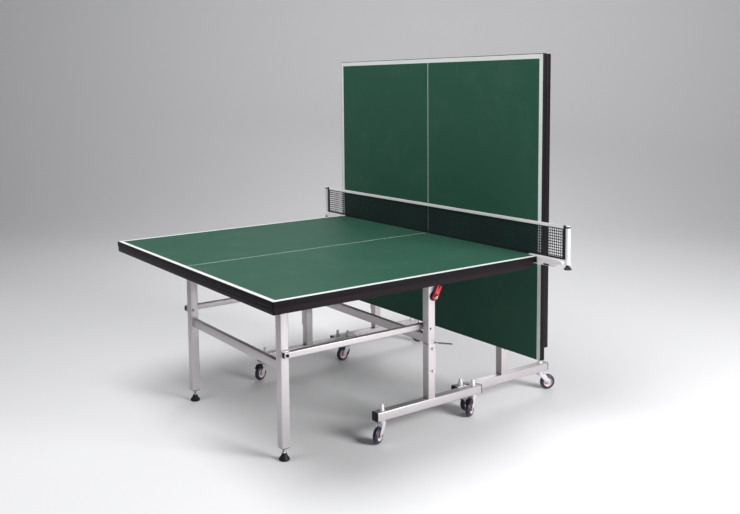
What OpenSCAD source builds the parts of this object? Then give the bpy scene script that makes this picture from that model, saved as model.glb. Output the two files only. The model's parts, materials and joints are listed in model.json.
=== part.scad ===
// Two-half folding ping pong table on wheeled trolleys, in the solo-practice set-up:
// the near half lies flat, the far half stands upright right behind the net.
// Both halves are the same assembly turned end for end. Half frame: X towards the net with
// x = 0 at the table hinge, Y across, Z up from the floor.

/* [Playing surface] */
// Length of one half of the top
half_len = 1370; // [1000:5:1500]
// Width of the top
top_w = 1525; // [1200:5:1700]
// Height of the playing surface above the floor
top_h = 760; // [700:1:800]
// Thickness of the board
board_t = 19; // [12:1:30]
// Radius of the two end-line corners
corner_r = 6; // [2:1:20]
// Distance from the net line to each half's net edge
net_gap = 3; // [2:0.5:8]
// Distance from the net line to the upright half's playing face
playback_gap = 9; // [8:0.5:20]

/* [Edge and apron] */
// Height of the black moulding round the board
band_h = 26; // [22:1:40]
// Thickness of that moulding
band_t = 2.5; // [1.5:0.5:5]
// Depth of the apron's lower edge below the playing surface
apron_drop = 50; // [36:1:70]
// Sheet thickness of the apron
apron_t = 1.5; // [1:0.5:3]
// Width of the apron's flange under the board
flange_w = 24; // [10:1:40]
// Length of side edge that the apron leaves free at the net
apron_stop = 55; // [50:1:80]

/* [Fold linkage] */
// Distance from the table hinge to the net edge
hinge_to_net = 430; // [380:1:460]
// Depth of the hinge axis below the playing surface
hinge_drop = 50; // [48:1:56]
// Distance from the end line to the leg hinge
leg_inset = 230; // [180:5:440]
// Height of the strut pins above the floor
strut_z = 453; // [446:1:500]
// Side of the strut's square tube
strut_tube = 25; // [16:1:28]
// Radius of the hinge and strut pins
pin_r = 5; // [3:0.5:7]
// Radial clearance of a turning fit
turn_gap = 0.05; // [0.02:0.01:0.1]
// Clearance between pieces that move past each other
move_gap = 1; // [0.5:0.25:3]

/* [Frame tubes] */
// Side of the main square tubes
tube = 40; // [30:1:50]
// Wall of the main square tubes
tube_wall = 2; // [1.5:0.5:4]
// Distance from the frame's middle to each upright and rail
upright_y = 496; // [490:1:600]
// Gap beside the strut, to the leg on one side and to the upright on the other
strut_gap = 7; // [7:0.5:30]
// Gap between the rails of the two halves where they pass side by side
rail_gap = 2; // [2:0.5:40]
// Length of each rail
rail_len = 600; // [560:5:700]
// Height of the rail's underside above the floor
rail_z = 94; // [90:1:120]
// Thickness of the flat crossbars
bar_t = 20; // [16:1:30]
// Height of the leg crossbar's middle above the floor
leg_bar_z = 393; // [300:1:410]
// Height of the trolley crossbar's underside above the floor
trolley_bar_low = 382; // [378:1:388]
// Height of the joint between the lower and upper upright tubes
splice_z = 312; // [290:1:330]
// Length of the channel that covers this joint
sleeve_len = 140; // [80:5:170]
// Sheet thickness of brackets and channels
plate_t = 3; // [2:0.5:4]

/* [Casters] */
// Diameter of the wheels
wheel_d = 75; // [60:1:76]
// Width of the tyre
wheel_w = 24; // [18:1:32]
// Distance from the swivel axis back to the wheel axle
caster_trail = 40; // [26:1:44]
// Distance from the rail's end to the swivel axis
caster_inset = 35; // [30:1:70]
// Radius of the swivel stem
stem_r = 6; // [4:0.5:8]
// Radius of the wheel axle
axle_r = 4; // [3:0.5:6]
// Sheet thickness of the fork
fork_t = 2.5; // [2:0.5:4]

/* [Feet] */
// Diameter of the levelling foot
foot_d = 46; // [30:1:60]
// Height of the leg tube's end above the floor
leg_end_z = 56; // [48:1:80]
// Radius of the foot's threaded stem
foot_stem_r = 5; // [3:0.5:8]

/* [Net set] */
// Height of the net above the playing surface
net_h = 152.5; // [140:0.5:160]
// Overhang of the net posts past the sides of the top
net_over = 152.5; // [120:0.5:170]
// Width of the white tape on top of the net and of the black strips at its ends
net_band = 15; // [10:1:20]
// Radius of the posts
post_r = 10; // [6:0.5:12]
// Length of the clamp jaws over the top
jaw_len = 50; // [45:1:90]
// Width of the clamp jaws along the side edge
jaw_w = 18; // [16:1:46]

/* [Hidden] */
// Fold angle of each half: 0 lies flat, 90 stands upright
near_fold = 0;
far_fold = 90;
hinge_z = top_h - hinge_drop;
board_z = top_h - board_t;
half_w = top_w / 2;
net_x = hinge_to_net;
// Distance between the table hinge and the leg hinge, and between the strut's two pins
link_span = half_len - hinge_to_net - leg_inset;
// Distance of each leg from the frame's middle, and the frame's own shift to one side
leg_y = upright_y - tube - strut_tube - 2 * strut_gap;
frame_shift = (tube + rail_gap) / 2;
trolley_bar_z = trolley_bar_low + tube / 2;
end_x = hinge_to_net - half_len;
near_x = -net_gap - hinge_to_net;
far_x = playback_gap + hinge_drop;
rail_top = rail_z + tube;
head = tube / 4;
caster_x = rail_len / 2 - caster_inset;
wheel_r = wheel_d / 2;
// Swivel headings of the casters, from the pivot to the wheel, in the half's own frame
near_heading = [206, 206, 197, 184];
far_heading = [150, 180, 155, 180];
end_turn = far_heading[2] - 180;
x_low = near_x + end_x;
x_high = far_x + caster_x + (caster_trail + wheel_r - wheel_w / 2) * cos(end_turn) + wheel_w / 2;
mid_x = (x_low + x_high) / 2;
strut_y = (leg_y + upright_y) / 2;
joint_gap = 0.3;
// Strut pins sit off the middle of the tubes, towards the end line
pin_x = -8;
// Radius of the release lever's wire
rod_r = 2.5;
// Red latch lever: bolt place on the upright and lean of the lever at both ends of the fold
latch_x = 8;
disc_t = 5;
latch_t = 13;
latch_z = hinge_z - 113;
near_lean = 28;
far_lean = -12;
// Wire release lever: its place above the channel and its slope at both ends of the fold
release_x = 15;
release_z = splice_z + sleeve_len / 2 + 6;
near_droop = 13;
far_droop = 90;
// Fork: height of its crown, distance of its cheeks from the wheel's middle, brake pin
crown_z = wheel_d + 4;
cheek_y = wheel_w / 2 + 1.5;
brake_x = caster_trail - 8;
brake_z = wheel_d + 5.5;
// Net: thickness of the mesh, stud under the post and gap above its knob, foot of the post, and how far
// the net and the post stand from the middle
net_t = 1.4;
stud_r = 3;
stud_len = 12;
knob_gap = 1;
post_z = top_h - 15;
net_plane = net_x + net_gap + 3;
post_y = half_w + net_over;

$fn = 48;

// ---------- placing ----------

// Near half, playing end towards -X
module near() {
  translate([near_x - mid_x, 0, 0]) children();
}

// Far half, turned end for end
module far() {
  translate([far_x - mid_x, 0, 0]) rotate([0, 0, 180]) children();
}

// The frame of each half sits to one side of the top's middle
module shifted() {
  translate([0, -frame_shift, 0]) children();
}

// Turns with the top about the table hinge
module on_top(fold) {
  translate([0, 0, hinge_z]) rotate([0, fold, 0]) translate([0, 0, -hinge_z]) children();
}

// Keeps the legs upright while their hinge travels with the top
module on_legs(fold) {
  translate([-link_span * cos(fold), 0, link_span * sin(fold)]) children();
}

// Turns with the struts about their pins in the uprights
module on_struts(fold) {
  translate([pin_x, 0, strut_z]) rotate([0, fold, 0]) translate([-pin_x, 0, -strut_z]) children();
}

module both_sides() {
  for (s = [-1, 1]) scale_side(s) children();
}

module scale_side(s) {
  if (s < 0) children();
  else mirror([0, 1, 0]) children();
}

// ---------- shapes ----------

// Outline of the top: square at the net, rounded at the end line
module top_outline(inset, net_end) {
  r = max(corner_r - inset, 0.5);
  x0 = end_x + inset;
  hw = half_w - inset;
  translate([x0 + r, -hw]) square([net_end - x0 - r, 2 * hw]);
  translate([x0, -hw + r]) square([net_end - x0, 2 * (hw - r)]);
  for (s = [-1, 1]) translate([x0 + r, s * (hw - r)]) circle(r);
}

// Square tube standing on z = 0, centred on the axis
module square_tube(len, side, wall) {
  linear_extrude(len) difference() {
    square(side, center = true);
    square(side - 2 * wall, center = true);
  }
}

// Round bar along Y, centred
module y_bar(r, len) {
  rotate([90, 0, 0]) cylinder(r = r, h = len, center = true);
}

// Domed cap nut standing on z = 0: hexagon with a turned dome on it
module cap_nut(r, h) {
  d = 0.85 * r;
  cylinder(r = r, h = 0.4 * h, $fn = 6);
  rotate_extrude() intersection() {
    square([d, h]);
    union() {
      square([d, h - d]);
      translate([0, h - d]) circle(d);
    }
  }
}

// ---------- top ----------

module board() {
  color([0.20, 0.38, 0.32]) translate([0, 0, board_z])
    linear_extrude(board_t) top_outline(band_t, net_x);
}

module edge_band() {
  color([0.08, 0.07, 0.09]) difference() {
    translate([0, 0, top_h - band_h]) linear_extrude(band_h) top_outline(0, net_x);
    translate([0, 0, top_h - band_h - 1]) linear_extrude(band_h + 2) top_outline(band_t, net_x + 1);
  }
}

// Three-sided channel under the board: outer web, flange under the board and return lip
module apron() {
  z0 = top_h - apron_drop;
  stop_x = net_x - apron_stop;
  color([0.10, 0.07, 0.09]) difference() {
    translate([0, 0, z0]) linear_extrude(board_z - z0) top_outline(band_t, stop_x);
    translate([0, 0, z0 + apron_t]) linear_extrude(board_z - z0 - 2 * apron_t)
      top_outline(band_t + apron_t, stop_x + 1);
    translate([0, 0, z0 - 1]) linear_extrude(board_z - z0 + 2) top_outline(band_t + flange_w, stop_x + 1);
  }
}

// Two ears and a base plate that straddle a tube's head and hang from the board
module hinge_bracket() {
  reach = tube / 2 + move_gap;
  base = 70;
  ear = 44;
  difference() {
    union() {
      translate([-base / 2, -reach - plate_t, board_z - plate_t])
        cube([base, 2 * (reach + plate_t), plate_t]);
      for (s = [-1, 1]) translate([0, s * (reach + plate_t / 2), 0]) {
        y_plate(ear);
      }
    }
    translate([0, 0, hinge_z]) y_bar(pin_r + turn_gap, 4 * reach);
  }
}

// Ear: a plate that narrows to a round end about the pin
module y_plate(w) {
  r = w / 2 - 6;
  translate([0, plate_t / 2, 0]) rotate([90, 0, 0]) linear_extrude(plate_t) {
    translate([0, hinge_z]) circle(r);
    translate([-r, hinge_z]) square([2 * r, board_z - hinge_z - plate_t / 2]);
  }
}

module table_brackets() {
  color([0.78, 0.76, 0.79]) shifted() for (s = [-1, 1]) {
    translate([0, s * upright_y, 0]) hinge_bracket();
    translate([-link_span, s * leg_y, 0]) hinge_bracket();
  }
}

// ---------- legs and struts ----------

// Leg tubes with the bores for the hinge pin and the strut pin
module legs() {
  color([0.80, 0.78, 0.81]) shifted() for (s = [-1, 1]) translate([0, s * leg_y, 0]) {
    difference() {
      translate([0, 0, leg_end_z]) square_tube(hinge_z + head - leg_end_z, tube, tube_wall);
      translate([0, 0, hinge_z]) y_bar(pin_r, 2 * tube);
      translate([pin_x, 0, strut_z]) y_bar(pin_r, 2 * tube);
    }
    translate([0, 0, hinge_z]) y_bar(pin_r, tube + 2 * (move_gap + plate_t) + 4);
    translate([0, 0, leg_end_z]) leg_plug();
    translate([pin_x, 0, strut_z]) leg_strut_pin(s);
  }
}

// Plug in the leg's end that takes the foot's stem
module leg_plug() {
  difference() {
    translate([0, 0, 12]) cube([tube - 2 * tube_wall, tube - 2 * tube_wall, 24], center = true);
    translate([0, 0, -1]) cylinder(r = foot_stem_r + turn_gap, h = 26);
  }
}

// Pin that carries the strut outside the leg, with the spacer between them
module leg_strut_pin(s) {
  out = strut_y - leg_y + strut_tube / 2 + 3;
  spacer = strut_y - leg_y - strut_tube / 2 - tube / 2 - joint_gap;
  translate([0, s * out / 2, 0]) y_bar(pin_r, out + tube);
  translate([0, s * (tube + spacer) / 2, 0]) y_bar(pin_r + 4, spacer);
}

module leg_crossbar() {
  color([0.62, 0.57, 0.60]) shifted()
    translate([0, leg_y - tube / 2, leg_bar_z]) rotate([90, 0, 0])
      linear_extrude(2 * leg_y - tube) difference() {
        square([bar_t, tube], center = true);
        square([bar_t - 2 * tube_wall, tube - 2 * tube_wall], center = true);
      }
}

// Levelling foot: bell, neck and threaded stem
module foot(s) {
  r = foot_d / 2;
  color([0.06, 0.06, 0.07]) shifted() translate([0, s * leg_y, 0]) {
    rotate_extrude() {
      square([r, 7]);
      polygon([[0, 7], [r, 7], [r * 0.8, 13], [r * 0.55, 20], [r * 0.46, 30], [0, 30]]);
    }
    cylinder(r = foot_stem_r, h = leg_end_z + 10);
  }
}

// One strut per side, open at the leg's front face, with a bored end block at each pin
module struts() {
  x0 = -link_span - tube / 2;
  x1 = 1;
  color([0.86, 0.84, 0.87]) shifted() for (s = [-1, 1]) translate([0, s * strut_y, strut_z]) {
    difference() {
      translate([x0, 0, 0]) rotate([0, 90, 0]) square_tube(x1 - x0, strut_tube, tube_wall);
      for (x = [pin_x - link_span, pin_x]) translate([x, 0, 0]) y_bar(pin_r + joint_gap, 2 * strut_tube);
    }
    strut_block(pin_x, turn_gap);
    strut_block(pin_x - link_span, joint_gap);
  }
}

// Solid block in the strut's tube, bored for the pin
module strut_block(x, gap) {
  inner = strut_tube - 2 * tube_wall;
  difference() {
    translate([x, 0, 0]) cube([2 * pin_r + 8, inner, inner], center = true);
    translate([x, 0, 0]) y_bar(pin_r + gap, 2 * strut_tube);
  }
}

// ---------- trolley ----------

// Upper tubes of the uprights with bores for the hinge pin, the strut pin and the release rod
module uprights() {
  color([0.84, 0.82, 0.85]) shifted() for (s = [-1, 1]) translate([0, s * upright_y, 0]) difference() {
    translate([0, 0, splice_z]) square_tube(hinge_z + head - splice_z, tube, tube_wall);
    translate([0, 0, hinge_z]) y_bar(pin_r, 2 * tube);
    translate([pin_x, 0, strut_z]) y_bar(pin_r, 2 * tube);
    translate([release_x, 0, release_z]) y_bar(rod_r + turn_gap, 2 * tube);
  }
}

// Rail with the lower upright welded on top and a plate under each end for the swivel
module side_frames() {
  color([0.82, 0.80, 0.83]) shifted() for (s = [-1, 1]) translate([0, s * upright_y, 0]) difference() {
    union() {
      translate([-rail_len / 2, 0, rail_z + tube / 2]) rotate([0, 90, 0])
        square_tube(rail_len, tube, tube_wall);
      translate([0, 0, rail_top]) square_tube(splice_z - rail_top, tube, tube_wall);
    }
    for (e = [-1, 1]) translate([e * caster_x, 0, rail_z - 1])
      cylinder(r = stem_r + turn_gap, h = tube + 2);
  }
}

module trolley_crossbar() {
  color([0.60, 0.55, 0.58]) shifted()
    translate([0, upright_y - tube / 2, trolley_bar_z]) rotate([90, 0, 0])
      linear_extrude(2 * upright_y - tube) difference() {
        square([bar_t, tube], center = true);
        square([bar_t - 2 * tube_wall, tube - 2 * tube_wall], center = true);
      }
}

// Plastic plugs in the rail ends
module end_caps() {
  cap = 5;
  color([0.07, 0.07, 0.08]) shifted() for (s = [-1, 1], e = [-1, 1])
    translate([e * rail_len / 2, s * upright_y, rail_z + tube / 2]) scale_x(e) {
      translate([cap / 2, 0, 0]) cube([cap, tube, tube], center = true);
      translate([-9, 0, 0]) cube([18, tube - 2 * tube_wall, tube - 2 * tube_wall], center = true);
    }
}

module scale_x(e) {
  if (e > 0) children();
  else mirror([1, 0, 0]) children();
}

// Channel round the outside of each upright over the tube joint
module sleeves() {
  color([0.88, 0.87, 0.89]) shifted() for (s = [-1, 1]) translate([0, s * upright_y, splice_z - sleeve_len / 2]) {
    out = tube / 2;
    difference() {
      translate([-out - plate_t, s > 0 ? -out + 6 : -out - plate_t, 0])
        cube([tube + 2 * plate_t, tube + plate_t - 6, sleeve_len]);
      translate([-out, s > 0 ? -out - 1 : -out, -1]) cube([tube, tube + 1, sleeve_len + 2]);
    }
  }
}

// Red forked lever in front of its disc, on the outer face of the upright's head
module latch(s, lean) {
  prong = 50;
  tip = 4.5;
  color([0.80, 0.10, 0.14]) shifted() scale_side(s)
    translate([latch_x, -upright_y - tube / 2 - disc_t - joint_gap, latch_z])
      rotate([0, lean, 0]) rotate([90, 0, 0]) linear_extrude(latch_t) difference() {
        union() {
          circle(14);
          for (p = [-8, 8]) {
            translate([p - tip, 0]) square([2 * tip, prong]);
            translate([p, prong]) circle(tip);
          }
        }
        circle(pin_r + turn_gap);
      }
}

// Wire release lever: a hairpin handle outside the upright, a rod through its walls and a
// small crank inside. Balls at the bends stand for the bent wire
module release_lever(droop) {
  handle = 92;
  gap = 12;
  crank = 13;
  ball = 1.2 * rod_r;
  outside = -tube / 2 - plate_t - joint_gap - ball;
  inside = tube / 2 + 5;
  translate([release_x, 0, release_z]) {
    wire_y(0, inside, outside, ball);
    rotate([0, droop, 0]) {
      wire_x(outside, 0, handle, ball);
      wire_y(handle, outside, outside - gap, ball);
      wire_x(outside - gap, handle, 8, ball);
    }
    rotate([0, droop + 18, 0]) {
      wire_x(inside, crank, 0, ball);
      wire_y(crank, inside + 20, inside, ball);
    }
  }
}

// Straight lengths of wire along X and along Y, with a ball at the second end
module wire_x(y, x0, x1, ball) {
  translate([min(x0, x1), y, 0]) rotate([0, 90, 0]) cylinder(r = rod_r, h = abs(x1 - x0));
  translate([x1, y, 0]) sphere(ball);
}

module wire_y(x, y0, y1, ball) {
  translate([x, max(y0, y1), 0]) rotate([90, 0, 0]) cylinder(r = rod_r, h = abs(y1 - y0));
  translate([x, y1, 0]) sphere(ball);
}

module release_levers(droop) {
  color([0.35, 0.34, 0.36]) shifted() both_sides() translate([0, -upright_y, 0]) release_lever(droop);
}

// Hinge pins, strut pins, latch discs and bolts, channel bolts and the cap nuts over the casters
module bolts() {
  strut_in = upright_y - strut_y + strut_tube / 2 + 3;
  color([0.70, 0.70, 0.72]) shifted() both_sides() {
    translate([0, -upright_y, hinge_z]) y_bar(pin_r, tube + 2 * (move_gap + plate_t) + 4);
    translate([pin_x, -upright_y + (strut_in - tube / 2) / 2, strut_z]) y_bar(pin_r, strut_in + tube / 2);
    translate([latch_x, -upright_y - tube / 2, latch_z]) rotate([90, 0, 0]) {
      cylinder(r = 20, h = disc_t);
      cylinder(r = pin_r, h = disc_t + latch_t + 4);
      translate([0, 0, disc_t + latch_t + 2 * joint_gap]) cap_nut(9, 10);
    }
    for (z = [-50, 50]) translate([0, -upright_y - tube / 2 - plate_t, splice_z + z])
      rotate([90, 0, 0]) cap_nut(8, 9);
    for (e = [-1, 1]) translate([e * caster_x, -upright_y, rail_top]) cap_nut(10, 30);
  }
}

// ---------- casters ----------

// Places a caster part on its swivel axis, turned to its heading
module caster(side, end, heading) {
  shifted() translate([end * caster_x, side * upright_y, 0]) rotate([0, 0, heading]) children();
}

// Fork: stem, crown, two cheeks and the axle; a braked one also has ears and a pin
module fork(braked) {
  hub = 9;
  color([0.78, 0.78, 0.80]) {
    translate([0, 0, crown_z]) cylinder(r = stem_r, h = rail_top - crown_z - 1);
    translate([0, 0, crown_z]) cylinder(r = cheek_y + fork_t, h = rail_z - joint_gap - crown_z);
    translate([-6, -cheek_y - fork_t, crown_z - fork_t]) cube([30, 2 * (cheek_y + fork_t), fork_t]);
    for (s = [-1, 1]) translate([0, s * (cheek_y + fork_t / 2) + fork_t / 2, 0]) rotate([90, 0, 0])
      linear_extrude(fork_t) {
        polygon([[-6, crown_z], [brake_x - 4, crown_z], [caster_trail + hub, wheel_r], [caster_trail - hub, wheel_r]]);
        translate([caster_trail, wheel_r]) circle(hub);
        if (braked) translate([brake_x, brake_z]) circle(6);
      }
    translate([caster_trail, 0, wheel_r]) y_bar(axle_r, 2 * (cheek_y + fork_t) + 4);
    if (braked) translate([brake_x, 0, brake_z]) y_bar(1.5, 2 * cheek_y + fork_t);
  }
}

// Wheel: rounded tyre on a dished hub
module wheel() {
  tr = wheel_w / 2;
  color([0.10, 0.10, 0.13]) translate([caster_trail, 0, wheel_r]) rotate([90, 0, 0]) rotate_extrude() {
    translate([wheel_r - tr, 0]) circle(tr);
    translate([wheel_r - tr - 6, -tr]) square([6, 2 * tr]);
    translate([axle_r + 4, -4]) square([wheel_r - tr - axle_r - 8, 8]);
    translate([axle_r + turn_gap, -tr]) square([6, 2 * tr]);
  }
}

// Foot brake: a pedal over the wheel on a pin across the fork
module brake() {
  w = wheel_w - 2;
  plate = 4;
  color([0.07, 0.07, 0.08]) translate([brake_x, 0, brake_z]) difference() {
    union() {
      y_bar(3.4, w);
      translate([1, -w / 2, -1]) cube([24, w, plate]);
      translate([24, -w / 2, 3]) rotate([0, 58, 0]) cube([24, w, plate]);
    }
    y_bar(1.5 + turn_gap, w + 1);
  }
}

// ---------- net ----------

// Upright slab in the net's plane, mirrored to both sides of the middle
module net_slab(y0, y1, z0, z1, t) {
  translate([net_plane - t / 2, y0, top_h + z0]) cube([t, y1 - y0, z1 - z0]);
}

// Mesh with the black strip at each end that takes the post
module net() {
  y1 = post_y - post_r;
  color([0.10, 0.10, 0.12]) near() {
    net_slab(-y1 + net_band, y1 - net_band, 3, net_h - net_band, net_t);
    net_slab(-y1, -y1 + net_band, 3, net_h, net_t);
    net_slab(y1 - net_band, y1, 3, net_h, net_t);
  }
}

// White tape over the top edge of the mesh
module net_tape() {
  y1 = post_y - post_r - net_band;
  color([0.95, 0.95, 0.95]) near() net_slab(-y1, y1, net_h - net_band, net_h, net_t + 1.6);
}

// Clamp casting: jaws over and under the top's edge, arm out to the post, and the post itself
module net_clamp() {
  x0 = net_x - jaw_w;
  low = board_z - 14;
  jaw_t = 6;
  plate_t = 5;
  pad_margin = 1;
  arm = net_over - post_r + 2;
  arm_w = jaw_w + 4;
  color([0.90, 0.89, 0.92]) {
    translate([x0, half_w - jaw_len, top_h]) cube([jaw_w, jaw_len + plate_t, plate_t]);
    translate([x0, half_w - jaw_len + 12, low]) cube([jaw_w, jaw_len - 12 + plate_t, jaw_t]);
    translate([x0 + jaw_w / 2, half_w - jaw_len + 30, low + 1])
      cylinder(r = jaw_w / 2 - pad_margin, h = board_z - low - 1);
    translate([x0, half_w, low]) cube([jaw_w, plate_t, top_h + plate_t - low]);
    translate([x0, half_w, 0]) rotate([90, 0, 90]) linear_extrude(arm_w)
      polygon([[0, low], [arm - 48, low], [arm - 18, post_z + 1], [arm, post_z + 1], [arm, top_h - 4],
               [arm - 24, top_h + 4], [0, top_h + plate_t]]);
    translate([net_plane, post_y, post_z]) cylinder(r = post_r, h = net_h + top_h - post_z);
    translate([net_plane, post_y, post_z - stud_len]) cylinder(r = stud_r, h = stud_len + 1);
  }
}

// Bell knob under the post, bored for the post's stud
module net_knob() {
  bore = stud_r + turn_gap;
  depth = stud_len + 1;
  color([0.07, 0.07, 0.08]) translate([net_plane, post_y, post_z - knob_gap]) mirror([0, 0, 1]) rotate_extrude()
    polygon([[bore, 0], [7, 0], [8, 3], [11, 10], [16, 15], [17, 18], [15, 20], [0, 20], [0, depth], [bore, depth]]);
}

// ---------- nodes ----------

module near_board() { near() on_top(near_fold) board(); }
module near_edge_band() { near() on_top(near_fold) edge_band(); }
module near_apron() { near() on_top(near_fold) apron(); }
module near_table_brackets() { near() on_top(near_fold) table_brackets(); }
module near_legs() { near() on_legs(near_fold) legs(); }
module near_leg_crossbar() { near() on_legs(near_fold) leg_crossbar(); }
module near_foot_right() { near() on_legs(near_fold) foot(-1); }
module near_foot_left() { near() on_legs(near_fold) foot(1); }
module near_struts() { near() on_struts(near_fold) struts(); }
module near_uprights() { near() uprights(); }
module near_side_frames() { near() side_frames(); }
module near_trolley_crossbar() { near() trolley_crossbar(); }
module near_end_caps() { near() end_caps(); }
module near_sleeves() { near() sleeves(); }
module near_latch_right() { near() latch(-1, near_lean); }
module near_latch_left() { near() latch(1, near_lean); }
module near_release_levers() { near() release_levers(near_droop); }
module near_bolts() { near() bolts(); }
module near_fork_right_outer() { near() caster(-1, -1, near_heading[0]) fork(false); }
module near_fork_right_inner() { near() caster(-1, 1, near_heading[1]) fork(true); }
module near_fork_left_outer() { near() caster(1, -1, near_heading[2]) fork(true); }
module near_fork_left_inner() { near() caster(1, 1, near_heading[3]) fork(false); }
module near_wheel_right_outer() { near() caster(-1, -1, near_heading[0]) wheel(); }
module near_wheel_right_inner() { near() caster(-1, 1, near_heading[1]) wheel(); }
module near_wheel_left_outer() { near() caster(1, -1, near_heading[2]) wheel(); }
module near_wheel_left_inner() { near() caster(1, 1, near_heading[3]) wheel(); }
module near_brake_right_inner() { near() caster(-1, 1, near_heading[1]) brake(); }
module near_brake_left_outer() { near() caster(1, -1, near_heading[2]) brake(); }

module far_board() { far() on_top(far_fold) board(); }
module far_edge_band() { far() on_top(far_fold) edge_band(); }
module far_apron() { far() on_top(far_fold) apron(); }
module far_table_brackets() { far() on_top(far_fold) table_brackets(); }
module far_legs() { far() on_legs(far_fold) legs(); }
module far_leg_crossbar() { far() on_legs(far_fold) leg_crossbar(); }
module far_foot_right() { far() on_legs(far_fold) foot(-1); }
module far_foot_left() { far() on_legs(far_fold) foot(1); }
module far_struts() { far() on_struts(far_fold) struts(); }
module far_uprights() { far() uprights(); }
module far_side_frames() { far() side_frames(); }
module far_trolley_crossbar() { far() trolley_crossbar(); }
module far_end_caps() { far() end_caps(); }
module far_sleeves() { far() sleeves(); }
module far_latch_right() { far() latch(-1, far_lean); }
module far_latch_left() { far() latch(1, far_lean); }
module far_release_levers() { far() release_levers(far_droop); }
module far_bolts() { far() bolts(); }
module far_fork_right_outer() { far() caster(-1, -1, far_heading[0]) fork(false); }
module far_fork_right_inner() { far() caster(-1, 1, far_heading[1]) fork(false); }
module far_fork_left_outer() { far() caster(1, -1, far_heading[2]) fork(false); }
module far_fork_left_inner() { far() caster(1, 1, far_heading[3]) fork(false); }
module far_wheel_right_outer() { far() caster(-1, -1, far_heading[0]) wheel(); }
module far_wheel_right_inner() { far() caster(-1, 1, far_heading[1]) wheel(); }
module far_wheel_left_outer() { far() caster(1, -1, far_heading[2]) wheel(); }
module far_wheel_left_inner() { far() caster(1, 1, far_heading[3]) wheel(); }

module net_clamp_right() { near() mirror([0, 1, 0]) net_clamp(); }
module net_clamp_left() { near() net_clamp(); }
module net_knob_right() { near() mirror([0, 1, 0]) net_knob(); }
module net_knob_left() { near() net_knob(); }

near_board();
near_edge_band();
near_apron();
near_table_brackets();
near_legs();
near_leg_crossbar();
near_foot_right();
near_foot_left();
near_struts();
near_uprights();
near_side_frames();
near_trolley_crossbar();
near_end_caps();
near_sleeves();
near_latch_right();
near_latch_left();
near_release_levers();
near_bolts();
near_fork_right_outer();
near_fork_right_inner();
near_fork_left_outer();
near_fork_left_inner();
near_wheel_right_outer();
near_wheel_right_inner();
near_wheel_left_outer();
near_wheel_left_inner();
near_brake_right_inner();
near_brake_left_outer();
far_board();
far_edge_band();
far_apron();
far_table_brackets();
far_legs();
far_leg_crossbar();
far_foot_right();
far_foot_left();
far_struts();
far_uprights();
far_side_frames();
far_trolley_crossbar();
far_end_caps();
far_sleeves();
far_latch_right();
far_latch_left();
far_release_levers();
far_bolts();
far_fork_right_outer();
far_fork_right_inner();
far_fork_left_outer();
far_fork_left_inner();
far_wheel_right_outer();
far_wheel_right_inner();
far_wheel_left_outer();
far_wheel_left_inner();
net();
net_tape();
net_clamp_right();
net_clamp_left();
net_knob_right();
net_knob_left();
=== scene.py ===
import json
import math
import bpy
import bmesh
import numpy as np
from mathutils import Matrix, Vector
from mathutils.geometry import convex_hull_2d


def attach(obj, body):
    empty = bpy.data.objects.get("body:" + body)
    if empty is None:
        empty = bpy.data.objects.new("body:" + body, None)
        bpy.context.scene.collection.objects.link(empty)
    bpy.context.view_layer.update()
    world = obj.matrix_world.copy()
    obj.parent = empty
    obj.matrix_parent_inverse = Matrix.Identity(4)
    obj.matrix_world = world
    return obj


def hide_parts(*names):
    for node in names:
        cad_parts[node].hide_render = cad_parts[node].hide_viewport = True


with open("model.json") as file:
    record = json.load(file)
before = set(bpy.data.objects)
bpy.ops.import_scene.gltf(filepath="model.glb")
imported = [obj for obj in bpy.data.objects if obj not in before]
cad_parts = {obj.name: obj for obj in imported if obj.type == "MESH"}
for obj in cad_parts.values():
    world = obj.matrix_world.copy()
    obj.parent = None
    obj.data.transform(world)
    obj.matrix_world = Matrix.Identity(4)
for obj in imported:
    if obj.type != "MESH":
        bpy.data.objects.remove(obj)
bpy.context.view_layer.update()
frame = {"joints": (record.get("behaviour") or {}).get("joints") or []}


# ---------------------------------------------------------------- pieces, from the top down

# Net: knotted black nylon mesh of 12 mm cells with a black cloth strip at each end that slips over the post.
# It is stretched between the posts, 150 mm high, and hangs free between them.


class Shape:
    """Points, faces and flat coordinates of a mesh, gathered from surfaces made in numpy. place carries every
    point from the piece's own frame to the table's."""

    def __init__(self, place=None):
        self.place = place
        self.points, self.flat, self.faces, self.slots, self.count = [], [], [], [], 0

    def add(self, grid, caps=(), wrap=(True, False), at=(0, 0, 0), slot=0, flat=None):
        """Adds a grid of rows of points, moved by at. wrap says whether each row closes on itself and whether
        the last row joins the first. caps names the rows that are closed by one face."""
        rows, n = grid.shape[:2]
        points = grid.reshape(-1, 3) + at
        points = self.place(points) if self.place else points
        i = np.arange(rows if wrap[1] else rows - 1)[:, None]
        j = np.arange(n if wrap[0] else n - 1)[None, :]
        a, b = i * n + j, i * n + (j + 1) % n
        c, d = ((i + 1) % rows) * n + (j + 1) % n, ((i + 1) % rows) * n + j
        quads = np.stack([a, b, c, d], -1).reshape(-1, 4)
        found = [quads] + [(np.arange(n) + (r % rows) * n)[None, :] for r in caps]
        for faces in found:
            self.faces.append(faces + self.count)
            self.slots.append(np.full(len(faces), slot))
        self.points.append(points)
        self.flat.append(np.zeros((len(points), 2)) if flat is None else flat.reshape(-1, 2))
        self.count += len(points)
        return self


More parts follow.
